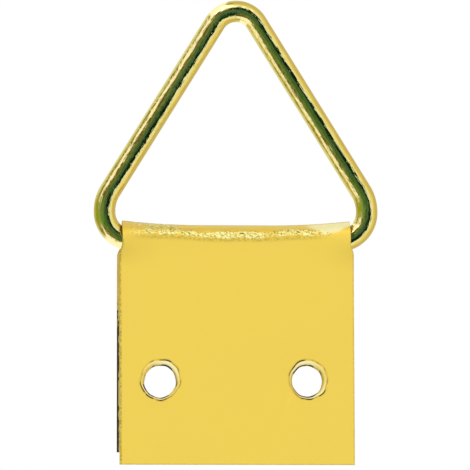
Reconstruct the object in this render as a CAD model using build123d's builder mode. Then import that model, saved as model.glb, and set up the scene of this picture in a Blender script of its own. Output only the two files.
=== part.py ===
"""Hinged picture hanger: a wire triangle that swings in the fold of a two-leaf sheet strap.

Millimetres, +Z up. The origin lies midway between the two screw holes, on the rear face of the
back leaf. +X runs along the hinge, and +Y points out of the rear face, into the picture frame.
"""

import os
from math import cos, radians, sin, sqrt, tan

from build123d import *

# Sheet strap: one blank, folded once over the wire.
SHEET_T = 0.3
FOLD_W = 20.1  # the blank is narrowest where it is folded
FRONT_LEAF_W = 20.6
BACK_LEAF_W = 20.8
FRONT_LEAF_DROP = 19.8  # hinge axis down to the front leaf's lower edge
BACK_LEAF_DROP = 18.6  # hinge axis down to the back leaf's lower edge
SHOULDER_TOP = 0.3  # hinge axis down to where the blank starts to widen
SHOULDER_FOOT = 1.3  # hinge axis down to where the leaves have their full widths
FRONT_LEAF_SPLAY = 3.2  # degrees that the front leaf leans away from the back leaf

# Fold: round over the wire, and flared towards both ends, where the wire starts to bend.
FOLD_CLEARANCE = 0.1  # between the wire and the inside of the fold, on radius
FLARE_ANGLE = 6.4  # degrees that the fold has opened by at each rim
FLARE_SHARE = 0.7  # how much of the fold's width flares, at its two ends together
SKIRT_DROP = 2.6  # hinge axis down to where the fold's shape has died into the leaves

# Screw holes, punched through both leaves.
HOLE_D = 3.2
HOLE_SPACING = 13.0
HOLE_DROP = 12.4  # hinge axis down to the holes' centres
HOLE_ROLL_SHARE = 0.7  # rounding of the punched rims, as a share of the sheet's thickness

# Triangle: one round wire, its two ends butted in the middle of the fold.
WIRE_D = 1.9
BASE_BEND_R = 2.5  # centre line of the quarter bends that come out of the fold
SIDE_RUN = 0.1  # straight wire between those bends and the gentler ones above them
SIDE_BEND_R = 3.4  # centre line of the gentler bends, which lead into the legs
APEX_BEND_R = 2.15  # centre line of the hanging point
LEG_ANGLE = 31.8  # degrees from vertical
BUTT_GAP = 0.3

# Level sections drawn along each skirt, between the fold and the flat leaf.
SKIRT_SECTIONS = 19

wire_r = WIRE_D / 2
half_t = SHEET_T / 2
flare_run = FOLD_W / 2 * FLARE_SHARE
straight_x = FOLD_W / 2 - flare_run
front_shoulder = (FRONT_LEAF_W - FOLD_W) / 2
back_shoulder = (BACK_LEAF_W - FOLD_W) / 2
front_leaf_slope = tan(radians(FRONT_LEAF_SPLAY))


def flare_radius(curl, run):
    """Radius of the strip's middle line in an end of that length, curled by an angle in degrees."""
    return run / radians(curl)


def rim_reach(curl, run):
    """How far an end's outer rim stands out from the middle line of the strip's straight part."""
    if curl > 0:
        return flare_radius(curl, run) - (flare_radius(curl, run) - half_t) * cos(radians(curl))
    return half_t


def ease(share):
    """Smooth step from 0 to 1, level at both ends."""
    return 3 * share**2 - 2 * share**3


def end_run(share, shoulder):
    """Length of a skirt's flared end, which grows by the shoulder just below the fold."""
    widening = (share * SKIRT_DROP - SHOULDER_TOP) / (SHOULDER_FOOT - SHOULDER_TOP)
    return flare_run + shoulder * ease(min(1, max(0, widening)))


# The hinge stands off the back face by as much as the flared rims need to lie flush with it.
fold_r = wire_r + FOLD_CLEARANCE
fold_mid = fold_r + half_t
axis_set = fold_mid + rim_reach(FLARE_ANGLE, flare_run)
back_leaf_mid = -half_t
front_leaf_mid = -axis_set - fold_mid - front_leaf_slope * SKIRT_DROP

# The wire starts to bend just inside the rims, so that its inner side clears them all the way round.
rim_inner_r = flare_radius(FLARE_ANGLE, flare_run) + half_t
rim_x = straight_x + rim_inner_r * sin(radians(FLARE_ANGLE))
rim_r = fold_r + rim_inner_r * (1 - cos(radians(FLARE_ANGLE)))
corner_x = rim_x - sqrt((BASE_BEND_R - fold_r) ** 2 - (BASE_BEND_R - rim_r) ** 2)

# Sharp corners of the triangle, before its bends: it rises upright at each side, then leans in.
side_x = corner_x + BASE_BEND_R
side_z = BASE_BEND_R + SIDE_RUN + SIDE_BEND_R * tan(radians(LEG_ANGLE) / 2)
apex_z = side_z + side_x / tan(radians(LEG_ANGLE))

hinge_axis = Axis((0, -axis_set, HOLE_DROP), (1, 0, 0))
ring_plane = Plane(origin=(0, -axis_set, HOLE_DROP), x_dir=(1, 0, 0), z_dir=(0, -1, 0))


def strip_section(side, drop, middle, curl, run):
    """Level section of the strap, at a depth below the hinge, to its rear (1) or front (-1).

    The strip's middle line lies at a distance from the hinge, and both ends, of length run, curl
    away from it by an angle in degrees.
    """
    inner = middle - half_t
    outer = middle + half_t
    level = Plane(origin=(0, -axis_set, HOLE_DROP - drop), x_dir=(side, 0, 0), z_dir=(0, 0, 1))
    with BuildLine(level) as outline:
        Line((-straight_x, inner), (straight_x, inner))
        Line((-straight_x, outer), (straight_x, outer))
        for end in (1, -1):
            root = end * straight_x
            if curl > 0:
                curl_r = flare_radius(curl, run)
                centre = (root, middle + curl_r)
                near = CenterArc(centre, curl_r + half_t, -90, end * curl)
                far = CenterArc(centre, curl_r - half_t, -90, end * curl)
            else:
                # Straight, but a curve like the arcs above it, so that the loft pairs them.
                half_way = root + end * run / 2
                tip = root + end * run
                near = Bezier((root, inner), (half_way, inner), (tip, inner))
                far = Bezier((root, outer), (half_way, outer), (tip, outer))
            Line(near @ 1, far @ 1)
    return make_face(outline.edges())


def back_skirt_section(share):
    """Section between the fold and the back leaf: the rims stay flush with the leaf's face."""
    curl = FLARE_ANGLE * (1 - ease(share))
    run = end_run(share, back_shoulder)
    return strip_section(1, share * SKIRT_DROP, axis_set - rim_reach(curl, run), curl, run)


def front_skirt_section(share):
    """Section between the fold and the front leaf, which leans away as it goes down."""
    curl = FLARE_ANGLE * (1 - ease(share))
    run = end_run(share, front_shoulder)
    middle = fold_mid + front_leaf_slope * SKIRT_DROP * (2 * share**2 - share**3)
    return strip_section(-1, share * SKIRT_DROP, middle, curl, run)


skirt_shares = [i / (SKIRT_SECTIONS - 1) for i in range(SKIRT_SECTIONS)]
back_skirt = [back_skirt_section(share) for share in skirt_shares]
front_skirt = [front_skirt_section(share) for share in skirt_shares]

# Folded strap
with BuildPart() as folded_plate:
    revolve(back_skirt[0], axis=hinge_axis, revolution_arc=180)

    loft(back_skirt)
    with BuildSketch(Plane.XY.offset(HOLE_DROP - SKIRT_DROP)):
        with Locations((0, back_leaf_mid)):
            Rectangle(BACK_LEAF_W, SHEET_T)
    extrude(amount=BACK_LEAF_DROP - SKIRT_DROP, dir=(0, 0, -1))

    loft(front_skirt)
    with BuildSketch(Plane.XY.offset(HOLE_DROP - SKIRT_DROP)):
        with Locations((0, front_leaf_mid)):
            Rectangle(FRONT_LEAF_W, SHEET_T)
    front_length = (FRONT_LEAF_DROP - SKIRT_DROP) / cos(radians(FRONT_LEAF_SPLAY))
    extrude(amount=front_length, dir=(0, -front_leaf_slope, -1))

    with BuildSketch(Plane.XZ):
        with GridLocations(HOLE_SPACING, 0, 2, 1):
            Circle(HOLE_D / 2)
    extrude(amount=FRONT_LEAF_DROP, both=True, mode=Mode.SUBTRACT)
    front_rims = edges().filter_by(GeomType.ELLIPSE).group_by(Axis.Y)[0]
    fillet(front_rims, SHEET_T * HOLE_ROLL_SHARE)

# Wire triangle
with BuildPart() as triangle_ring:
    with BuildLine(ring_plane) as wire_path:
        FilletPolyline(
            (BUTT_GAP / 2, 0),
            (side_x, 0),
            (side_x, side_z),
            (0, apex_z),
            (-side_x, side_z),
            (-side_x, 0),
            (-BUTT_GAP / 2, 0),
            radius=(BASE_BEND_R, SIDE_BEND_R, APEX_BEND_R, SIDE_BEND_R, BASE_BEND_R),
        )
    with BuildSketch(Plane(origin=wire_path.line @ 0, z_dir=wire_path.line % 0)):
        Circle(wire_r)
    sweep()

os.makedirs("parts", exist_ok=True)

folded_plate.part.label = "folded_plate"
export_step(folded_plate.part, "parts/folded_plate.step")

triangle_ring.part.label = "triangle_ring"
export_step(triangle_ring.part, "parts/triangle_ring.step")
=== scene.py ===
"""Dressed scene of the hinged picture hanger: a sheet strap folded over a wire triangle.

Metres in Blender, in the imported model's frame. The hanger's own sizes are named in millimetres and
scaled by MM. Those of the camera, the lamps and the floor are in metres.
"""

from collections import namedtuple
from math import cos, pi, radians, sin, sqrt, tan

import bmesh
import bpy
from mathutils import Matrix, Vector


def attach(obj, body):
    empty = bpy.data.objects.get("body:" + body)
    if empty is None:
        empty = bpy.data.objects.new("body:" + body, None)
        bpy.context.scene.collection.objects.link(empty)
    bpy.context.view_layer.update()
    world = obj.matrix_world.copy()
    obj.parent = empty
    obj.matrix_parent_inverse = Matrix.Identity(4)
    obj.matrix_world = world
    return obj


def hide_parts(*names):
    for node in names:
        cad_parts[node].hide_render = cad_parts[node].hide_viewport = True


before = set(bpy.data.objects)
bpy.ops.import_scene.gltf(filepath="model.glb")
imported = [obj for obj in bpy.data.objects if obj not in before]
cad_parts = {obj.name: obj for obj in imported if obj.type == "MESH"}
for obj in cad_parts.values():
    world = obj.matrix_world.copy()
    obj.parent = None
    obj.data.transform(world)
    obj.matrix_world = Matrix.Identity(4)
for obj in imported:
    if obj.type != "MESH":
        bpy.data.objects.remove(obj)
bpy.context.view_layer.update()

MM = 0.001

# Sheet strap, in millimetres and degrees. Drops and shoulders are measured down from the hinge.
SHEET_T = 0.3
FOLD_W = 20.1
FRONT_LEAF_W = 20.6
BACK_LEAF_W = 20.8
FRONT_LEAF_DROP = 19.8
BACK_LEAF_DROP = 18.6
SHOULDER_TOP = 0.3
SHOULDER_FOOT = 1.3
FRONT_LEAF_SPLAY = 3.2
FOLD_CLEARANCE = 0.1
FLARE_ANGLE = 6.4
FLARE_SHARE = 0.7
SKIRT_DROP = 2.6
HOLE_D = 3.2
HOLE_SPACING = 13.0
HOLE_DROP = 12.4
EDGE_ROUND = 0.1

# Wire triangle, in millimetres and degrees
WIRE_D = 1.9
BASE_BEND_R = 2.5
SIDE_RUN = 0.1
SIDE_BEND_R = 3.4
APEX_BEND_R = 2.15
LEG_ANGLE = 31.8
BUTT_GAP = 0.3
CUT_ROUND = 0.06

# Punched lips in the front holes, left and right, each a little off the hole's centre:
# inner radius and shift (right, up), outer radius and shift, degrees to one of its two bold sides,
# where its painted highlight and painted shade are strongest
LIPS = (
    (1.39, (-0.25, -0.115), 1.75, (-0.21, 0.030), 60.0),
    (1.33, (-0.36, -0.060), 1.70, (-0.25, 0.070), 110.0),
)
# Rings of a lip: whether it is measured outwards from the lip's inner edge (0) or inwards from its
# outer edge (1), how far that is as a share of the lip's breadth and in millimetres at most, depth
# below the leaf's face, painted highlight share, painted shade share
LIP_PROFILE = (
    (0, 0.0, 0.0, 0.12, 0.0, 2.0),
    (0, 0.28, 0.09, 0.08, 0.1, 2.0),
    (0, 0.42, 0.14, 0.04, 0.9, 0.2),
    (0, 0.55, 0.20, -0.01, 1.0, 0.0),
    (1, 0.40, 0.12, -0.03, 1.0, 0.0),
    (1, 0.25, 0.07, -0.02, 0.8, 0.1),
    (1, 0.08, 0.03, 0.0, 0.0, 1.0),
    (1, -1.0, -0.03, 0.02, 0.0, 1.0),
    (1, -1.0, -0.08, 0.0, 0.0, 0.2),
    (1, -1.0, -0.18, 0.0, 0.0, 0.0),
    (1, -1.0, -0.32, 0.0, 0.0, 0.0),
)
# Waves that make a lip's outline uneven: share of its radius, count round it, phase in radians
LIP_WAVES = ((0.012, 2, pi / 2), (0.010, 5, 1.9), (0.008, 9, 0.0))
OUTER_WAVES = 1.5  # how much stronger they are on the outer outline than on the inner one
FAINT_PAINTED_LIGHT = 0.3  # share of a lip's painted highlight and painted shade that is left between its bold sides
FAINT_PAINTED_SHADE = 0.25
# Rings of a plain rim: distance out from its edge, painted shade share
PLAIN_PROFILE = ((0.0, 1.0), (0.08, 0.2), (0.20, 0.0), (0.50, 0.0))

# Mesh steps, in millimetres, degrees and counts
CELL = 0.33
LEG_STEP = 0.5
EDGE_LINES = (0.07, 0.13, 0.19, 0.27)  # mesh lines that follow the sheared edges, in from them
PATCH_HALF = 2.6  # half width of the square patch round each hole
PATCH_CELLS = 24
CORNER_SHARE = 0.375  # of a turn, clockwise from a patch's right to its lower left corner
FOLD_STEPS = 48
SKIRT_STEPS = 26
WIRE_SIDES = 48
BEND_STEPS = 32
SHARP_ANGLE = 40.0
ROUND_SEGMENTS = 3
SHEARED = 1  # material index of the sheared edges and the wire's cut ends

half_t = SHEET_T / 2
wire_r = WIRE_D / 2
flare_run = FOLD_W / 2 * FLARE_SHARE
straight_x = FOLD_W / 2 - flare_run
front_shoulder = (FRONT_LEAF_W - FOLD_W) / 2
back_shoulder = (BACK_LEAF_W - FOLD_W) / 2
slope = tan(radians(FRONT_LEAF_SPLAY))
fold_mid = wire_r + FOLD_CLEARANCE + half_t


def rim_reach(curl, run):
    """How far a rim curled by this angle stands out from the middle line, in millimetres."""
    if curl > 0:
        r = run / curl
        return r - (r - half_t) * cos(curl)
    return half_t


def ease(share):
    """Smooth step from 0 to 1, level at both ends."""
    return 3 * share**2 - 2 * share**3


def ramp(value, a, b):
    """Smooth step from 0 where the value is a to 1 where it is b."""
    return ease(min(1.0, max(0.0, (value - a) / (b - a))))


def end_run(share, shoulder):
    """Length of a skirt's flared end, which grows by the shoulder just below the fold."""
    return flare_run + shoulder * ramp(share * SKIRT_DROP, SHOULDER_TOP, SHOULDER_FOOT)


# The wire starts to bend just inside the fold's flared rims.
full_curl = radians(FLARE_ANGLE)
axis_y = -(fold_mid + rim_reach(full_curl, flare_run))
fold_r = wire_r + FOLD_CLEARANCE
rim_inner_r = flare_run / full_curl + half_t
rim_x = straight_x + rim_inner_r * sin(full_curl)
rim_r = fold_r + rim_inner_r * (1 - cos(full_curl))
corner_x = rim_x - sqrt((BASE_BEND_R - fold_r) ** 2 - (BASE_BEND_R - rim_r) ** 2)


def steps(a, b, n):
    """The n + 1 evenly spaced values from a to b."""
    return [a + (b - a) * i / n for i in range(n + 1)]


def cells(a, b, size=CELL):
    """How many cells of about this size fit between a and b."""
    return max(1, round(abs(b - a) / size))


def join_runs(*runs):
    """One list from runs that share their end values."""
    out = list(runs[0])
    for run in runs[1:]:
        out += run[1:]
    return out


# A row of the strap's grid: direction (y, z) from the hinge out to the sheet, distance that way to
# the sheet's middle line, level above the hinge, angle by which the row's ends curl, length of
# those ends, and rise, which runs over the fold's front half from 0 level with the hinge to 1 at
# the crest and is 0 elsewhere
Row = namedtuple("Row", "outward middle level curl run rise")
FRONT = (-1.0, 0.0)
BACK = (1.0, 0.0)


def strap_rows():
    """Rows from the front leaf's lower edge, over the fold, to the back leaf's, and the numbers of
    the rows where the holes' patches start in front and behind."""
    hole_lo, hole_hi = HOLE_DROP + PATCH_HALF, HOLE_DROP - PATCH_HALF
    rows = []
    front_drops = join_runs(
        [FRONT_LEAF_DROP] + [FRONT_LEAF_DROP - d for d in EDGE_LINES],
        steps(FRONT_LEAF_DROP - EDGE_LINES[-1], hole_lo, cells(FRONT_LEAF_DROP, hole_lo)),
        steps(hole_lo, hole_hi, PATCH_CELLS),
        steps(hole_hi, SKIRT_DROP, cells(hole_hi, SKIRT_DROP)),
    )
    front_patch = cells(FRONT_LEAF_DROP, hole_lo) + len(EDGE_LINES)
    for drop in front_drops[:-1]:
        run = flare_run + front_shoulder
        rows.append(Row(FRONT, fold_mid + slope * drop, -drop, 0.0, run, 0.0))
    for share in steps(1.0, 0.0, SKIRT_STEPS)[:-1]:
        middle = fold_mid + slope * SKIRT_DROP * (2 * share**2 - share**3)
        curl = full_curl * (1 - ease(share))
        run = end_run(share, front_shoulder)
        rows.append(Row(FRONT, middle, -share * SKIRT_DROP, curl, run, 0.0))
    for turn in steps(pi, 0.0, FOLD_STEPS)[:-1]:
        rise = sin(turn) if cos(turn) < 0 else 0.0
        rows.append(Row((cos(turn), sin(turn)), fold_mid, 0.0, full_curl, flare_run, rise))
    for share in steps(0.0, 1.0, SKIRT_STEPS)[:-1]:
        curl = full_curl * (1 - ease(share))
        run = end_run(share, back_shoulder)
        middle = -axis_y - rim_reach(curl, run)
        rows.append(Row(BACK, middle, -share * SKIRT_DROP, curl, run, 0.0))
    back_drops = join_runs(
        steps(SKIRT_DROP, hole_hi, cells(SKIRT_DROP, hole_hi)),
        steps(hole_hi, hole_lo, PATCH_CELLS),
        steps(hole_lo, BACK_LEAF_DROP, cells(hole_lo, BACK_LEAF_DROP)),
    )
    back_patch = len(rows) + cells(SKIRT_DROP, hole_hi)
    for drop in back_drops:
        run = flare_run + back_shoulder
        rows.append(Row(BACK, -axis_y - half_t, -drop, 0.0, run, 0.0))
    return rows, front_patch, back_patch


def strap_columns():
    """Places across the strap, on the fold's width, and the numbers of the columns where the left
    and the right patches start. The leaves widen outside the patches only."""
    near, far = HOLE_SPACING / 2 - PATCH_HALF, HOLE_SPACING / 2 + PATCH_HALF
    half_w = FOLD_W / 2
    right = join_runs(
        steps(straight_x, near, cells(straight_x, near)),
        steps(near, far, PATCH_CELLS),
        steps(far, half_w - EDGE_LINES[-1], cells(far, half_w - EDGE_LINES[-1])),
        [half_w - d for d in reversed(EDGE_LINES)] + [half_w],
    )
    middle = steps(-straight_x, straight_x, cells(-straight_x, straight_x))
    columns = [-x for x in reversed(right)][:-1] + middle[:-1] + right
    left_patch = cells(far, half_w - EDGE_LINES[-1]) + len(EDGE_LINES)
    right_patch = len(columns) - left_patch - PATCH_CELLS - 1
    return columns, left_patch, right_patch


def skin_point(row, u, side):
    """A point of the strap's outer (1) or inner (-1) skin, in millimetres."""
    sign = 1 if u > 0 else -1
    patch_end = HOLE_SPACING / 2 + PATCH_HALF
    if abs(u) > patch_end:
        widen = (straight_x + row.run - patch_end) / (FOLD_W / 2 - patch_end)
        u = sign * (patch_end + (abs(u) - patch_end) * widen)
    x, lift, tilt = u, 0.0, 0.0
    if abs(u) > straight_x and row.curl > 0:
        r = row.run / row.curl
        tilt = (abs(u) - straight_x) / row.run * row.curl
        x = sign * (straight_x + r * sin(tilt))
        lift = r * (1 - cos(tilt))
    out = row.middle + lift + side * half_t * cos(tilt)
    x -= side * sign * half_t * sin(tilt)
    out_y, out_z = row.outward
    return (x, axis_y + out_y * out, HOLE_DROP + row.level + out_z * out)


# Finish of the sheet, with its painted highlight and painted shade, as shares that its vertices
# carry and its material reads
SKIN_SHARES = ("crackle_and_highlight", "painted_light", "painted_shade_line", "painted_shade")

# A pair below holds the two places between which something fades in or out: across the fold in
# millimetres from its middle, up the fold as a row's rise, or down a leaf in millimetres below the
# hinge. A foot or a top, and what lifts, drops or fades it, is a rise too.

# Crackled band along the fold's front, where pale flecks of painted highlight lie
CRACKLE_LEFT_END = (-9.8, -7.4)
CRACKLE_RIGHT_END = (7.0, 9.4)
CRACKLE_FOOT_LIFT = 0.18
CRACKLE_FOOT_LIFTS = (1.5, 6.0)
CRACKLE_FOOT_FADE = 0.26
CRACKLE_TOP = 1.20
CRACKLE_TOP_DROP = 0.54
CRACKLE_TOP_DROPS = (-8.0, -2.5)
CRACKLE_TOP_LIFT = 0.14
CRACKLE_TOP_LIFTS = (2.5, 5.0)
CRACKLE_TOP_FADE = 0.24

# Painted highlight in a wedge at the fold's right end, and fainter painted sheen along its upper
# part
WEDGE_LEFT_END = (5.2, 7.2)
WEDGE_FOOT = 0.80
WEDGE_FOOT_DROP = 0.40
WEDGE_FOOT_DROPS = (5.5, 8.4)
WEDGE_FOOT_LIFT = 0.30
WEDGE_FOOT_LIFTS = (8.6, 10.0)
WEDGE_FOOT_FADE = 0.10
PAINTED_SHEEN = 0.3
PAINTED_SHEEN_FOOT = (0.55, 0.75)
PAINTED_LIGHT_TOP = (0.95, 0.99)

# Painted shade along the crest, darker on the left, and a band of painted shade below the crackle
CREST = (0.92, 0.97)
CREST_PAINTED_SHADE_LINE = 0.15
CREST_PAINTED_SHADE = 1.7
CREST_PAINTED_SHADE_LOSS = 0.9
CREST_PAINTED_SHADE_LOSSES = (-7.0, -3.0)
BAND_RIGHT_END = (6.0, 9.0)
BAND_CORE = 0.04  # half the band's height where its painted shade is full, as a rise
BAND_HALF = 0.24  # half its whole height

# Leaves' edges, with painted shade along them and painted light beside the back leaf's left one:
# shares on the mesh lines from an edge inwards, and what is added down the leaf
FRONT_LEFT_PAINTED_SHADE = (1.5, 1.4, 0.3)
FRONT_LEFT_PAINTED_SHADE_ADDED = (0.0, 0.0, 0.9)
FRONT_LEFT_ADDS = (3.0, 9.0)
FRONT_OTHER_PAINTED_SHADE = (0.8, 0.5)
BACK_PAINTED_SHADE = (0.1, 0.1, 0.0)
BACK_PAINTED_SHADE_ADDED = (5.0, 5.0, 0.6)
BACK_LEFT_PAINTED_LIGHT = 0.6
BACK_LEFT_PAINTED_LIGHT_ADDED = 0.4
BACK_ADDS = (5.0, 9.0)


def crackle_foot(x):
    """Rise at which the crackle ends, lowest in the middle of the fold."""
    return CRACKLE_FOOT_LIFT * ramp(abs(x), *CRACKLE_FOOT_LIFTS)


def crackle_and_highlight_share(x, rise):
    """How crackled the fold's skin is, which also places its flecks of painted highlight: up to the
    crest on the left, low down elsewhere.
    """
    foot = crackle_foot(x)
    top = CRACKLE_TOP - CRACKLE_TOP_DROP * ramp(x, *CRACKLE_TOP_DROPS)
    top += CRACKLE_TOP_LIFT * ramp(x, *CRACKLE_TOP_LIFTS)
    across = ramp(x, *CRACKLE_LEFT_END) * (1 - ramp(x, *CRACKLE_RIGHT_END))
    above_foot = ramp(rise, foot, foot + CRACKLE_FOOT_FADE)
    return across * above_foot * (1 - ramp(rise, top - CRACKLE_TOP_FADE, top))


def painted_light_share(x, rise):
    """How much painted highlight the fold's skin carries: in a wedge that widens to its right end,
    and a fainter painted sheen all along its upper part."""
    foot = WEDGE_FOOT - WEDGE_FOOT_DROP * ramp(x, *WEDGE_FOOT_DROPS)
    foot += WEDGE_FOOT_LIFT * ramp(x, *WEDGE_FOOT_LIFTS)
    above_foot = ramp(rise, foot - WEDGE_FOOT_FADE, foot + WEDGE_FOOT_FADE)
    wedge = ramp(x, *WEDGE_LEFT_END) * above_foot
    return max(wedge, PAINTED_SHEEN * ramp(rise, *PAINTED_SHEEN_FOOT)) * (1 - ramp(rise, *PAINTED_LIGHT_TOP))


def fold_painted_shade_share(x, row):
    """How much painted shade the fold's skin carries: along its crest, most of all on the left, and
    in a band below the crackle, where the fold meets the front leaf."""
    if row.outward[0] >= 0:
        return 0.0
    crest = CREST_PAINTED_SHADE - CREST_PAINTED_SHADE_LOSS * ramp(x, *CREST_PAINTED_SHADE_LOSSES)
    crest *= ramp(row.rise, *CREST)
    above_foot = row.rise + row.level / fold_mid - crackle_foot(x)
    band = ramp(x, *CRACKLE_LEFT_END) * (1 - ramp(x, *BAND_RIGHT_END))
    band *= ramp(above_foot, -BAND_HALF, -BAND_CORE)
    band *= 1 - ramp(above_foot, BAND_CORE, BAND_HALF)
    return max(crest, band)


def edge_painted_shade_share(row, from_left, from_right, from_foot):
    """How much painted shade the front leaf's outside carries along its sheared edges, most of all
    on the left.
    """
    if row.outward != FRONT:
        return 0.0
    if from_left < len(FRONT_LEFT_PAINTED_SHADE):
        added = FRONT_LEFT_PAINTED_SHADE_ADDED[from_left] * ramp(-row.level, *FRONT_LEFT_ADDS)
        return FRONT_LEFT_PAINTED_SHADE[from_left] + added
    near = min(from_right, from_foot)
    return FRONT_OTHER_PAINTED_SHADE[near] if near < len(FRONT_OTHER_PAINTED_SHADE) else 0.0


def outer_shares(row, x, i, j, last_i):
    """Shares of the outer skin at column i and row j, in the order of SKIN_SHARES."""
    # Painted shade line along the crest
    painted_shade_line = CREST_PAINTED_SHADE_LINE * ramp(row.rise, *CREST)
    painted_shade = max(fold_painted_shade_share(x, row), edge_painted_shade_share(row, i, last_i - i, j))
    return crackle_and_highlight_share(x, row.rise), painted_light_share(x, row.rise), painted_shade_line, painted_shade


def inner_shares(row, x, i, last_i):
    """Shares of the inner skin at column i. The back leaf's carries painted shade along its side
    edges, the more so towards its foot, with a strip of painted light beside the left one."""
    painted_light, painted_shade_line = painted_light_share(x, row.rise), 0.0
    if row.outward == BACK:
        low = ramp(-row.level, *BACK_ADDS)
        near = min(i, last_i - i)
        if near < len(BACK_PAINTED_SHADE):
            painted_shade_line = BACK_PAINTED_SHADE[near] + BACK_PAINTED_SHADE_ADDED[near] * low
        if 1 < i <= len(EDGE_LINES):
            painted_light = BACK_LEFT_PAINTED_LIGHT + BACK_LEFT_PAINTED_LIGHT_ADDED * low
    return crackle_and_highlight_share(x, row.rise), painted_light, painted_shade_line, 0.0


def ring_turn(index):
    """Angle of a ring's point, which keeps step with a patch's border from its lower left corner."""
    return (index / (4 * PATCH_CELLS) - CORNER_SHARE) * 2 * pi


def ring_point(index, radius):
    """Point of a round ring in step with a patch's border."""
    turn = ring_turn(index)
    return radius * cos(turn), radius * sin(turn)


def border_cells():
    """Grid steps (column, row) round a patch, from its lower left corner, anticlockwise."""
    n = PATCH_CELLS
    out = [(i, 0) for i in range(n)]
    out += [(n, i) for i in range(n)]
    out += [(n - i, n) for i in range(n)]
    out += [(0, n - i) for i in range(n)]
    return out


def lip_point(index, from_outer, share, most, lip):
    """Point of a ring round a lip, and how bold the lip is there, that is how strong its painted
    highlight and painted shade are.
    """
    inner_r, inner_shift, outer_r, outer_shift, boldest = lip
    turn = ring_turn(index) - radians(boldest)
    wave = sum(size * sin(count * turn + phase) for size, count, phase in LIP_WAVES)
    inner = Vector(ring_point(index, inner_r * (1 + wave))) + Vector(inner_shift)
    outer = Vector(ring_point(index, outer_r * (1 + OUTER_WAVES * wave))) + Vector(outer_shift)
    across = outer - inner
    reach = share * across.length
    reach = max(reach, most) if share < 0 else min(reach, most)
    step = across.normalized() * reach
    point = outer - step if from_outer else inner + step
    return point, (1 + cos(2 * turn)) / 2


def front_leaf_y(z, side):
    """Where the front leaf's outer (1) or inner (-1) face lies, at a height above the holes."""
    return axis_y - fold_mid - slope * (HOLE_DROP - z) - side * half_t


def lip_rings(centre_x, lip):
    """Rings of (point, painted highlight share, painted shade share) over a front hole's lip, from
    the inside out.
    """
    rings = []
    for from_outer, share, most, depth, painted_light, painted_shade_line in LIP_PROFILE:
        ring = []
        for k in range(4 * PATCH_CELLS):
            (x, z), bold = lip_point(k, from_outer, share, most, lip)
            point = (centre_x + x, front_leaf_y(z, 1) + depth, z)
            painted_light_here = painted_light * (FAINT_PAINTED_LIGHT + (1 - FAINT_PAINTED_LIGHT) * bold)
            painted_shade_line_here = painted_shade_line * (FAINT_PAINTED_SHADE + (1 - FAINT_PAINTED_SHADE) * bold)
            ring.append((point, painted_light_here, painted_shade_line_here))
        rings.append(ring)
    return rings


def plain_rings(centre_x, is_front, side, lip):
    """Rings of (point, painted highlight share, painted shade share) round a hole's rim without a
    lip.
    On the front leaf's inner face they keep to the outline of the lip's inner edge."""
    rings = []
    for out, painted_shade_line in PLAIN_PROFILE:
        ring = []
        for k in range(4 * PATCH_CELLS):
            if is_front:
                (x, z), _ = lip_point(k, 0, 0.0, 0.0, lip)
                x, z = x * (1 + out / HOLE_D), z * (1 + out / HOLE_D)
                y = front_leaf_y(z, side)
            else:
                x, z = ring_point(k, HOLE_D / 2 + out)
                z = -z  # the back leaf's rows run downwards
                y = -half_t + side * half_t
            ring.append(((centre_x + x, y, z), 0.0, painted_shade_line))
        rings.append(ring)
    return rings


def add_object(name, data):
    obj = bpy.data.objects.new(name, data)
    bpy.context.scene.collection.objects.link(obj)
    return obj


def mesh_object(name, bm):
    """Smooth-shaded object from a mesh, whose faces are first turned outwards."""
    bmesh.ops.recalc_face_normals(bm, faces=bm.faces)
    mesh = bpy.data.meshes.new(name)
    bm.to_mesh(mesh)
    bm.free()
    for face in mesh.polygons:
        face.use_smooth = True
    return add_object(name, mesh)


def round_edges(obj, name, radius):
    """Rounds an object's sharp edges, by a radius in millimetres."""
    bevel = obj.modifiers.new(name, "BEVEL")
    bevel.limit_method = "ANGLE"
    bevel.angle_limit = radians(SHARP_ANGLE)
    bevel.width = radius * MM
    bevel.segments = ROUND_SEGMENTS


def join_rings(bm, rings):
    """Faces between closed rings of as many vertices, each to the next."""
    for a, b in zip(rings, rings[1:]):
        for k in range(len(a)):
            m = (k + 1) % len(a)
            bm.faces.new([a[k], a[m], b[m], b[k]])


def in_patch(patches, i, j, first):
    """Whether column i and row j lie in a patch. Its inner vertices start one step in from its
    corner, so their first step is 1, and that of its cells is 0."""
    return any(first <= i - c < PATCH_CELLS and first <= j - r < PATCH_CELLS for c, r in patches)


def add_skin(bm, layers, rows, columns, patches, side):
    """The strap's outer (1) or inner (-1) skin, with its patches left open. Returns its vertices
    by column and row."""
    grid = {}
    last_i, last_j = len(columns) - 1, len(rows) - 1
    for j, row in enumerate(rows):
        for i, u in enumerate(columns):
            if in_patch(patches, i, j, 1):
                continue
            v = bm.verts.new([q * MM for q in skin_point(row, u, side)])
            if side == 1:
                shares = outer_shares(row, u, i, j, last_i)
            else:
                shares = inner_shares(row, u, i, last_i)
            for layer, share in zip(layers, shares):
                v[layer] = share
            grid[i, j] = v
    for j in range(last_j):
        for i in range(last_i):
            if in_patch(patches, i, j, 0):
                continue
            corners = ((i, j), (i + 1, j), (i + 1, j + 1), (i, j + 1))
            bm.faces.new([grid[corner] for corner in corners])
    return grid


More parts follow.
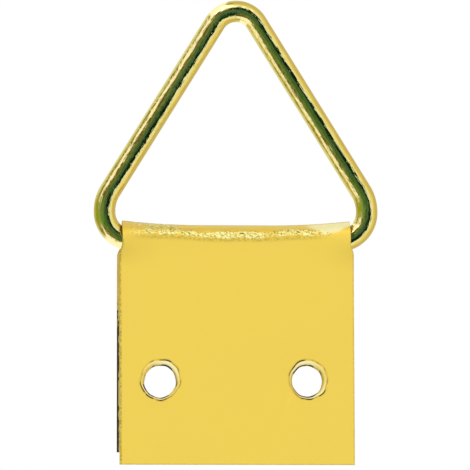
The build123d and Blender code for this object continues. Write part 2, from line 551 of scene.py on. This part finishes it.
def add_hole(bm, layers, skins, patch, centre_x, is_front, lip):
    """Fills a patch of both skins round its hole, and joins them down the hole's wall."""
    _, painted_light_layer, painted_shade_line_layer, _ = layers
    c, r = patch
    rims = {}
    for side, grid in skins.items():
        if is_front and side == 1:
            shape = lip_rings(centre_x, lip)
        else:
            shape = plain_rings(centre_x, is_front, side, lip)
        rings = []
        for points in shape:
            ring = []
            for point, painted_light, painted_shade_line in points:
                v = bm.verts.new([q * MM for q in point])
                v[painted_light_layer] = painted_light
                v[painted_shade_line_layer] = painted_shade_line
                ring.append(v)
            rings.append(ring)
        rings.append([grid[c + i, r + j] for i, j in border_cells()])
        join_rings(bm, rings)
        rims[side] = rings[0]
    outer, inner = rims[1], rims[-1]
    for k in range(len(outer)):
        m = (k + 1) % len(outer)
        bm.faces.new([outer[k], inner[k], inner[m], outer[m]]).material_index = SHEARED


def add_sheared_edges(bm, skins, last_i, last_j):
    """Walls between the borders of the two skins."""
    walls = [((0, j), (0, j + 1)) for j in range(last_j)]
    walls += [((last_i, j), (last_i, j + 1)) for j in range(last_j)]
    walls += [((i, 0), (i + 1, 0)) for i in range(last_i)]
    walls += [((i, last_j), (i + 1, last_j)) for i in range(last_i)]
    outer, inner = skins[1], skins[-1]
    for a, b in walls:
        bm.faces.new([outer[a], outer[b], inner[b], inner[a]]).material_index = SHEARED


def build_strap():
    rows, front_patch, back_patch = strap_rows()
    columns, left_patch, right_patch = strap_columns()
    patches = [(c, r) for c in (left_patch, right_patch) for r in (front_patch, back_patch)]
    bm = bmesh.new()
    layers = [bm.verts.layers.float.new(name) for name in SKIN_SHARES]
    skins = {side: add_skin(bm, layers, rows, columns, patches, side) for side in (1, -1)}
    for c, lip in zip((left_patch, right_patch), LIPS):
        centre_x = (columns[c] + columns[c + PATCH_CELLS]) / 2
        add_hole(bm, layers, skins, (c, front_patch), centre_x, True, lip)
        add_hole(bm, layers, skins, (c, back_patch), centre_x, False, lip)
    add_sheared_edges(bm, skins, len(columns) - 1, len(rows) - 1)
    obj = mesh_object("folded_strap", bm)
    round_edges(obj, "sheared edges", EDGE_ROUND)
    weighted = obj.modifiers.new("flat faces", "WEIGHTED_NORMAL")
    weighted.keep_sharp = True
    return obj


def bend_points(centre, radius, start, end):
    """Points and tangents along a bend, after its start, as angles from straight down."""
    x, z = centre
    return [
        ((x + radius * sin(a), z - radius * cos(a)), (cos(a), sin(a)))
        for a in steps(start, end, BEND_STEPS)[1:]
    ]


def run_points(start, end):
    """Points and tangents along a straight run, after its start."""
    start, end = Vector(start), Vector(end)
    tangent = tuple((end - start).normalized())
    shares = steps(0.0, 1.0, cells(0, (end - start).length, LEG_STEP))[1:]
    return [(tuple(start.lerp(end, share)), tangent) for share in shares]


def wire_path():
    """Centre line of the wire in the ring's plane: points (x, z), tangents (x, z)."""
    lean = radians(LEG_ANGLE)
    side_x = corner_x + BASE_BEND_R
    side_z = BASE_BEND_R + SIDE_RUN
    top_z = side_z + SIDE_BEND_R * tan(lean / 2) + side_x / tan(lean) - APEX_BEND_R / sin(lean)
    half = [((BUTT_GAP / 2, 0.0), (1.0, 0.0))]
    half += run_points((BUTT_GAP / 2, 0.0), (corner_x, 0.0))
    half += bend_points((corner_x, BASE_BEND_R), BASE_BEND_R, 0.0, pi / 2)
    half += run_points((side_x, BASE_BEND_R), (side_x, side_z))
    half += bend_points((side_x - SIDE_BEND_R, side_z), SIDE_BEND_R, pi / 2, pi / 2 + lean)
    leg_end = (APEX_BEND_R * cos(lean), top_z + APEX_BEND_R * sin(lean))
    half += run_points(half[-1][0], leg_end)
    half += bend_points((0.0, top_z), APEX_BEND_R, pi / 2 + lean, pi)
    mirrored = [((-x, z), (tx, -tz)) for (x, z), (tx, tz) in reversed(half[:-1])]
    return half + mirrored


def build_ring():
    """The bent wire. Its vertices carry their place along and across the wire, as if straight."""
    path = wire_path()
    bm = bmesh.new()
    run_layer = bm.verts.layers.float_vector.new("wire_run")
    run = 0.0
    rings = []
    before = Vector(path[0][0])
    for (x, z), (tx, tz) in path:
        run += (Vector((x, z)) - before).length
        before = Vector((x, z))
        ring = []
        for k in range(WIRE_SIDES):
            a = 2 * pi * k / WIRE_SIDES
            out_x, out_z = -tz * cos(a), tx * cos(a)
            point = (x + wire_r * out_x, axis_y + wire_r * sin(a), HOLE_DROP + z + wire_r * out_z)
            v = bm.verts.new([q * MM for q in point])
            v[run_layer] = (run * MM, wire_r * MM * cos(a), wire_r * MM * sin(a))
            ring.append(v)
        rings.append(ring)
    join_rings(bm, rings)
    for ring in (rings[0], rings[-1]):
        bm.faces.new(ring).material_index = SHEARED
    obj = mesh_object("wire_triangle", bm)
    round_edges(obj, "cut ends", CUT_ROUND)
    return obj


class Graph:
    """Node tree of a material or the world, with a short call for each kind of node used."""

    def __init__(self, tree):
        self.nodes = tree.nodes
        self.links = tree.links
        self.nodes.clear()

    def feed(self, socket, value):
        """Links another node's output to a socket, or sets it to a number, vector or colour."""
        if isinstance(value, bpy.types.NodeSocket):
            self.links.new(value, socket)
        elif socket.type == "RGBA":
            socket.default_value = (*value, 1)
        else:
            socket.default_value = value

    def coordinate(self, kind):
        return self.nodes.new("ShaderNodeTexCoord").outputs[kind]

    def attribute(self, name, output="Fac"):
        node = self.nodes.new("ShaderNodeAttribute")
        node.attribute_name = name
        return node.outputs[output]

    def stretch(self, vector, scale):
        node = self.nodes.new("ShaderNodeMapping")
        self.feed(node.inputs["Vector"], vector)
        self.feed(node.inputs["Scale"], scale)
        return node.outputs["Vector"]

    def noise(self, vector, scale, detail=2.0, roughness=0.5):
        node = self.nodes.new("ShaderNodeTexNoise")
        self.feed(node.inputs["Vector"], vector)
        self.feed(node.inputs["Scale"], scale)
        self.feed(node.inputs["Detail"], detail)
        self.feed(node.inputs["Roughness"], roughness)
        return node.outputs["Fac"]

    def math(self, operation, a, b=0.0, clamp=False):
        node = self.nodes.new("ShaderNodeMath")
        node.operation = operation
        node.use_clamp = clamp
        self.feed(node.inputs[0], a)
        self.feed(node.inputs[1], b)
        return node.outputs["Value"]

    def dot(self, vector, constant):
        node = self.nodes.new("ShaderNodeVectorMath")
        node.operation = "DOT_PRODUCT"
        self.feed(node.inputs[0], vector)
        self.feed(node.inputs[1], constant)
        return node.outputs["Value"]

    def span(self, value, limits, results=(0.0, 1.0)):
        """Smooth step from one result to the other while the value goes between two limits."""
        node = self.nodes.new("ShaderNodeMapRange")
        node.interpolation_type = "SMOOTHSTEP"
        self.feed(node.inputs["Value"], value)
        for name, number in zip(("From Min", "From Max"), limits):
            self.feed(node.inputs[name], number)
        for name, number in zip(("To Min", "To Max"), results):
            self.feed(node.inputs[name], number)
        return node.outputs["Result"]

    def mix(self, factor, a, b):
        """Blend of two colours: a where the factor is 0, b where it is 1."""
        node = self.nodes.new("ShaderNodeMix")
        node.data_type = "RGBA"
        self.feed(node.inputs["Factor"], factor)
        for name, value in (("A", a), ("B", b)):
            colour_socket = [s for s in node.inputs if s.name == name and s.type == "RGBA"][0]
            self.feed(colour_socket, value)
        return [s for s in node.outputs if s.type == "RGBA"][0]

    def colours(self, half_turn_share, stops):
        """Run of colours by a share of a half turn, with stops of (degrees, colour)."""
        node = self.nodes.new("ShaderNodeValToRGB")
        self.feed(node.inputs["Fac"], half_turn_share)
        elements = node.color_ramp.elements
        while len(elements) < len(stops):
            elements.new(0.5)
        for element, (degrees, colour) in zip(elements, stops):
            element.position = degrees / 180.0
            element.color = (*colour, 1)
        return node.outputs["Color"]

    def bump(self, height, distance, strength=1.0, normal=None):
        node = self.nodes.new("ShaderNodeBump")
        self.feed(node.inputs["Height"], height)
        self.feed(node.inputs["Distance"], distance)
        self.feed(node.inputs["Strength"], strength)
        if normal is not None:
            self.feed(node.inputs["Normal"], normal)
        return node.outputs["Normal"]

    def background(self, colour, strength=1.0):
        node = self.nodes.new("ShaderNodeBackground")
        self.feed(node.inputs["Color"], colour)
        self.feed(node.inputs["Strength"], strength)
        return node.outputs["Background"]

    def either(self, factor, a, b):
        """The shader a where the factor is 0, b where it is 1."""
        node = self.nodes.new("ShaderNodeMixShader")
        for socket, value in zip(node.inputs, (factor, a, b)):
            self.feed(socket, value)
        return node.outputs["Shader"]


# Materials, with the scales of their noises in cells per metre and their bumps in metres
MID_NOISE = (0.3, 0.7)  # most of a noise lies between these

# Sheet. Each pair of limits for a noise or a share is followed by what it becomes at them, unless
# that is 0 and 1.
FACE_COLOURS = ((0.87, 0.61, 0.090), (0.90, 0.64, 0.105))
# Crackle's flecks, from darker gold to a pale painted highlight
CRACKLE_AND_HIGHLIGHT_COLOURS = ((0.66, 0.53, 0.12), (0.98, 0.89, 0.42))
PIT_COLOUR = (0.16, 0.12, 0.02)
# Painted highlight, also the painted light beside the back leaf's left edge
PAINTED_LIGHT_COLOUR = (0.80, 0.73, 0.38)
# Painted shade, speckled
PAINTED_SHADE_COLOUR = (0.20, 0.14, 0.015)
# Painted shade lines
PAINTED_SHADE_LINE_COLOUR = (0.025, 0.022, 0.005)
DRIFT_SCALE = 180.0
PATCH_SCALE = 900.0
GAP_SCALE = 1400.0
GRAIN_SCALE = 4200.0
FLECK_SCALE = 6600.0
FLECK_STRETCH = (0.75, 1.0, 1.0)
HIGHLIGHT_FLECKS = (0.44, 0.57)
PIT_FLECKS = (0.40, 0.34)
PAINTED_SHADE_FLECKS = (0.40, 0.60)
PAINTED_SHADE_STRENGTHS = (0.42, 0.12)
PATCHES = (0.35, 0.65)
PATCH_STRENGTHS = (-0.4, 0.4)
CRACKLE_PATCHES = (0.2, 0.9)
CRACKLE_BOUNDS = (0.0, 0.15)
# Gaps in the painted shade lines
LINE_GAPS = (0.40, 0.58)
LINE_STRENGTHS = (0.2, 1.2)
SHEET_METALLIC = (0.8, 0.1)  # where there is no painted light, where there is
SHEET_ROUGHNESS = (0.36, 0.42)
CRACKLE_SMOOTHING = 0.12
GRAIN_BUMP = 0.000002
PEEL_BUMP = 0.00004

# Sheared edges and cut ends
SHEARED_COLOURS = ((0.50, 0.37, 0.08), (0.85, 0.69, 0.22))
SHEARED_METALLIC = 0.8
SHEARED_ROUGHNESS = (0.42, 0.6)
SHEARED_SCALE = 2600.0
SHEARED_BUMP = 0.00001

# Wire
WIRE_COLOURS = ((0.92, 0.80, 0.38), (0.96, 0.88, 0.50))
WIRE_METALLIC = 1.0
WIRE_ROUGHNESS = (0.04, 0.09)
WAVE_SCALE = 1500.0
WAVE_BUMP = 0.00005
DRAWN_SCALE = 2600.0
DRAWN_STRETCH = (0.22, 1.0, 1.0)  # along the wire, and twice across it
DRAWN_BUMP = 0.00005

# Floor
FLOOR_COLOUR = (0.95, 0.95, 0.95)
FLOOR_ROUGHNESS = 0.9


def new_material(name):
    """A material, its graph and the inputs of its one shader."""
    mat = bpy.data.materials.new(name)
    mat.use_nodes = True
    graph = Graph(mat.node_tree)
    out = graph.nodes.new("ShaderNodeOutputMaterial")
    shader = graph.nodes.new("ShaderNodeBsdfPrincipled")
    graph.feed(out.inputs["Surface"], shader.outputs["BSDF"])
    return mat, graph, shader.inputs


def crackle_finish(graph, place, fleck, crackle_and_highlight):
    """How much of the crackle shows, in ragged patches, and its colour: flecks of painted highlight,
    darker flecks, and pits between them."""
    patchy = graph.span(graph.noise(place, PATCH_SCALE), PATCHES, PATCH_STRENGTHS)
    ragged = graph.span(graph.math("ADD", crackle_and_highlight, patchy), CRACKLE_PATCHES)
    crackle = graph.math("MULTIPLY", ragged, graph.span(crackle_and_highlight, CRACKLE_BOUNDS))
    colour = graph.mix(graph.span(fleck, HIGHLIGHT_FLECKS), *CRACKLE_AND_HIGHLIGHT_COLOURS)
    colour = graph.mix(graph.span(fleck, PIT_FLECKS), colour, PIT_COLOUR)
    return crackle, colour


def strap_material():
    mat, graph, shader = new_material("strap_brass_sheet")
    place = graph.coordinate("Object")
    crackle_and_highlight, painted_light, painted_shade_line, painted_shade = [graph.attribute(name) for name in SKIN_SHARES]
    drift = graph.noise(place, DRIFT_SCALE, detail=3.0)
    grain = graph.noise(place, GRAIN_SCALE, roughness=0.6)
    fleck = graph.noise(graph.stretch(place, FLECK_STRETCH), FLECK_SCALE, roughness=0.6)
    crackle, crackle_and_highlight_colour = crackle_finish(graph, place, fleck, crackle_and_highlight)

    # The painted shade is speckled, and the painted shade lines have gaps.
    specks = graph.span(fleck, PAINTED_SHADE_FLECKS, PAINTED_SHADE_STRENGTHS)
    gaps = graph.span(graph.noise(place, GAP_SCALE, detail=1.0), LINE_GAPS, LINE_STRENGTHS)
    # Tone, painted shade, crackle with painted highlight, painted highlight, painted shade lines, in
    # turn
    colour = graph.mix(drift, *FACE_COLOURS)
    colour = graph.mix(graph.math("MULTIPLY", painted_shade, specks, clamp=True), colour, PAINTED_SHADE_COLOUR)
    colour = graph.mix(crackle, colour, crackle_and_highlight_colour)
    colour = graph.mix(painted_light, colour, PAINTED_LIGHT_COLOUR)
    colour = graph.mix(graph.math("MULTIPLY", painted_shade_line, gaps, clamp=True), colour, PAINTED_SHADE_LINE_COLOUR)
    graph.feed(shader["Base Color"], colour)
    graph.feed(shader["Metallic"], graph.span(painted_light, (0.0, 1.0), SHEET_METALLIC))

    satin = graph.span(drift, MID_NOISE, SHEET_ROUGHNESS)
    smoothed = graph.math("MULTIPLY", crackle_and_highlight, CRACKLE_SMOOTHING)
    graph.feed(shader["Roughness"], graph.math("SUBTRACT", satin, smoothed))
    grainy = graph.bump(grain, GRAIN_BUMP, strength=0.5)
    peel = graph.math("MULTIPLY", fleck, crackle)
    graph.feed(shader["Normal"], graph.bump(peel, PEEL_BUMP, strength=0.8, normal=grainy))
    return mat


def sheared_material():
    mat, graph, shader = new_material("strap_sheared_edge")
    torn = graph.noise(graph.coordinate("Object"), SHEARED_SCALE, detail=3.0, roughness=0.6)
    graph.feed(shader["Base Color"], graph.mix(torn, *SHEARED_COLOURS))
    graph.feed(shader["Metallic"], SHEARED_METALLIC)
    graph.feed(shader["Roughness"], graph.span(torn, MID_NOISE, SHEARED_ROUGHNESS))
    graph.feed(shader["Normal"], graph.bump(torn, SHEARED_BUMP))
    return mat


def wire_material():
    mat, graph, shader = new_material("wire_brass_drawn")
    run = graph.attribute("wire_run", "Vector")
    stretched = graph.stretch(run, DRAWN_STRETCH)
    drawn = graph.noise(stretched, DRAWN_SCALE, detail=3.0, roughness=0.55)
    graph.feed(shader["Base Color"], graph.mix(drawn, *WIRE_COLOURS))
    graph.feed(shader["Metallic"], WIRE_METALLIC)
    graph.feed(shader["Roughness"], graph.span(drawn, MID_NOISE, WIRE_ROUGHNESS))
    wavy = graph.bump(graph.noise(run, WAVE_SCALE), WAVE_BUMP)
    graph.feed(shader["Normal"], graph.bump(drawn, DRAWN_BUMP, normal=wavy))
    return mat


def floor_material():
    mat, graph, shader = new_material("pale_floor")
    graph.feed(shader["Base Color"], FLOOR_COLOUR)
    graph.feed(shader["Roughness"], FLOOR_ROUGHNESS)
    return mat


strap = build_strap()
strap_mat, sheared_mat, wire_mat = strap_material(), sheared_material(), wire_material()
for mat in (strap_mat, sheared_mat):
    strap.data.materials.append(mat)
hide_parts("folded_plate")
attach(strap, "plate")

ring = build_ring()
for mat in (wire_mat, sheared_mat):
    ring.data.materials.append(mat)
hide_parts("triangle_ring")
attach(ring, "ring")

# Camera: to the left of the hanger and a little below it, as in the photograph
VIEW_AZIMUTH = -3.3
VIEW_ELEVATION = -4.0
VIEW_DISTANCE = 0.55
FRAME_WIDTH = 0.04137
FRAME_CENTRE_X = -0.00007
FRAME_CENTRE_Z = 0.0129
SENSOR_MM = 36.0


def toward(azimuth, elevation):
    """Direction from the hanger by azimuth and elevation in degrees. Azimuth 0 is straight in
    front of it, and negative ones are to its left."""
    a, e = radians(azimuth), radians(elevation)
    return Vector((sin(a) * cos(e), -cos(a) * cos(e), sin(e)))


def face(obj, target, back, distance):
    """Moves a camera or a lamp back from a target and turns it to face the target."""
    obj.location = target + back * distance
    obj.rotation_mode = "QUATERNION"
    obj.rotation_quaternion = (-back).to_track_quat("-Z", "Y")


def build_camera(back):
    data = bpy.data.cameras.new("camera")
    data.sensor_width = SENSOR_MM
    data.lens = SENSOR_MM * VIEW_DISTANCE / FRAME_WIDTH
    data.clip_start = 0.01
    data.clip_end = 20.0
    obj = add_object("camera", data)
    face(obj, Vector((FRAME_CENTRE_X, axis_y * MM, FRAME_CENTRE_Z)), back, VIEW_DISTANCE)
    return obj


to_camera = toward(VIEW_AZIMUTH, VIEW_ELEVATION)
bpy.context.scene.camera = build_camera(to_camera)

# World: a dark green room in front, which only polished metal shows, with pale walls round it

# Colours by degrees away from to_camera: level with it on the left, elsewhere on the left, and on
# the right, as the photograph's camera sees them
LEVEL_STOPS = (
    (0.0, (0.055, 0.130, 0.020)),
    (15.0, (0.080, 0.190, 0.030)),
    (27.0, (0.130, 0.270, 0.060)),
    (40.0, (0.190, 0.310, 0.100)),
    (53.0, (0.250, 0.340, 0.090)),
    (78.0, (0.300, 0.350, 0.040)),
    (92.0, (0.290, 0.310, 0.020)),
    (109.0, (0.360, 0.360, 0.060)),
    (128.0, (0.560, 0.510, 0.180)),
    (180.0, (0.650, 0.570, 0.300)),
)
LEFT_STOPS = (
    (0.0, (0.045, 0.105, 0.028)),
    (14.0, (0.060, 0.130, 0.035)),
    (22.0, (0.170, 0.240, 0.085)),
    (32.0, (0.180, 0.190, 0.060)),
    (36.0, (0.110, 0.090, 0.025)),
    (46.0, (0.150, 0.120, 0.035)),
    (51.0, (0.600, 0.520, 0.300)),
    (60.0, (1.080, 1.040, 0.900)),
    (72.0, (1.100, 1.060, 0.920)),
    (80.0, (0.760, 0.680, 0.420)),
    (88.0, (0.200, 0.180, 0.050)),
    (99.0, (0.220, 0.200, 0.060)),
    (113.0, (0.660, 0.640, 0.290)),
    (136.0, (0.780, 0.790, 0.520)),
    (180.0, (0.800, 0.800, 0.560)),
)
RIGHT_STOPS = (
    (0.0, (0.045, 0.105, 0.028)),
    (10.0, (0.080, 0.165, 0.090)),
    (19.0, (0.030, 0.075, 0.036)),
    (27.0, (0.006, 0.018, 0.006)),
    (46.0, (0.003, 0.010, 0.003)),
    (49.0, (0.700, 0.780, 0.600)),
    (58.0, (0.880, 0.920, 0.720)),
    (68.0, (0.880, 0.840, 0.520)),
    (81.0, (0.830, 0.700, 0.250)),
    (95.0, (0.700, 0.560, 0.170)),
    (113.0, (0.600, 0.490, 0.200)),
    (180.0, (0.640, 0.560, 0.320)),
)
# Turns round to_camera, in degrees up or down from the right, where the level part begins
LEVEL_TURNS = (147.0, 172.0)
# Cosines of such turns, from -1 on the left to 1 on the right, where the left goes over into the
# right, and where bright panes above and below the level part begin and end
LEFT_TO_RIGHT = (-0.35, 0.35)
PANE_LEFT_SIDE = (-0.80, -0.70)
PANE_RIGHT_SIDE = (-0.15, -0.30)
PANE_NEAR_SIDE = (50.0, 60.0)  # degrees away from to_camera
PANE_COLOUR = (1.1, 1.1, 1.05)
WHITE = (1.0, 1.0, 1.0)
DIFFUSE_LEVEL = 0.9


def room_colour(graph):
    """Colour of the room by direction, as polished metal reflects it."""
    view_right = Vector((cos(radians(VIEW_AZIMUTH)), sin(radians(VIEW_AZIMUTH)), 0.0))
    view_up = view_right.cross(-to_camera)
    direction = graph.coordinate("Generated")
    away = graph.math("ARCCOSINE", graph.dot(direction, to_camera))
    turn = graph.math("ARCTAN2", graph.dot(direction, view_up), graph.dot(direction, view_right))
    side = graph.math("COSINE", turn)
    half_turn_share = graph.math("DIVIDE", away, pi)

    level_turns = [radians(angle) for angle in LEVEL_TURNS]
    level = graph.span(graph.math("ABSOLUTE", turn), level_turns)
    left = graph.colours(half_turn_share, LEFT_STOPS)
    left = graph.mix(level, left, graph.colours(half_turn_share, LEVEL_STOPS))
    right = graph.colours(half_turn_share, RIGHT_STOPS)
    room = graph.mix(graph.span(side, LEFT_TO_RIGHT), left, right)

    near_side = [radians(angle) for angle in PANE_NEAR_SIDE]
    pane = graph.math(
        "MULTIPLY", graph.span(side, PANE_LEFT_SIDE), graph.span(side, PANE_RIGHT_SIDE)
    )
    pane = graph.math("MULTIPLY", pane, graph.span(away, near_side))
    return graph.mix(pane, room, PANE_COLOUR)


def build_world():
    """White to the camera, the room to reflections, and an even light to everything else."""
    world = bpy.data.worlds.new("studio")
    world.use_nodes = True
    graph = Graph(world.node_tree)
    out = graph.nodes.new("ShaderNodeOutputWorld")
    ray = graph.nodes.new("ShaderNodeLightPath").outputs
    room = graph.background(room_colour(graph))
    lit = graph.either(ray["Is Glossy Ray"], graph.background(WHITE, DIFFUSE_LEVEL), room)
    seen = graph.either(ray["Is Camera Ray"], lit, graph.background(WHITE))
    graph.feed(out.inputs["Surface"], seen)
    return world


bpy.context.scene.world = build_world()


def area_lamp(name, azimuth, elevation, distance, width, height, radiance, only=None):
    """A soft box that faces the hanger, with its brightness as a radiance. It lights everything,
    or one object only."""
    data = bpy.data.lights.new(name, "AREA")
    data.shape = "RECTANGLE"
    data.size, data.size_y = width, height
    data.energy = radiance * pi * width * height
    obj = add_object(name, data)
    hinge = Vector((0, axis_y * MM, HOLE_DROP * MM))
    face(obj, hinge, toward(azimuth, elevation), distance)
    obj.visible_camera = False
    if only is not None:
        group = bpy.data.collections.new(name + "_receives")
        group.objects.link(only)
        obj.light_linking.receiver_collection = group


area_lamp(
    "front_box",
    azimuth=0.0,
    elevation=8.0,
    distance=0.4,
    width=0.55,
    height=0.55,
    radiance=0.96,
    only=strap,
)
area_lamp(
    "rear_box",
    azimuth=180.0,
    elevation=50.0,
    distance=0.5,
    width=0.4,
    height=0.4,
    radiance=0.1,
    only=strap,
)
area_lamp(
    "top_strip",
    azimuth=-2.0,
    elevation=50.0,
    distance=0.5,
    width=0.5,
    height=0.07,
    radiance=0.5,
)
area_lamp(
    "key_box",
    azimuth=-35.0,
    elevation=55.0,
    distance=0.8,
    width=0.4,
    height=0.4,
    radiance=0.6,
)

# Floor, pale and well below the hanger, which hangs free
FLOOR_Z = -0.06
FLOOR_HALF = 3.0


def build_floor():
    mesh = bpy.data.meshes.new("floor")
    signs = ((-1, -1), (1, -1), (1, 1), (-1, 1))
    corners = [(x * FLOOR_HALF, y * FLOOR_HALF, FLOOR_Z) for x, y in signs]
    mesh.from_pydata(corners, [], [(0, 1, 2, 3)])
    mesh.materials.append(floor_material())
    return add_object("floor", mesh)


floor = build_floor()
floor.visible_glossy = False

bpy.context.scene.view_settings.view_transform = "Standard"
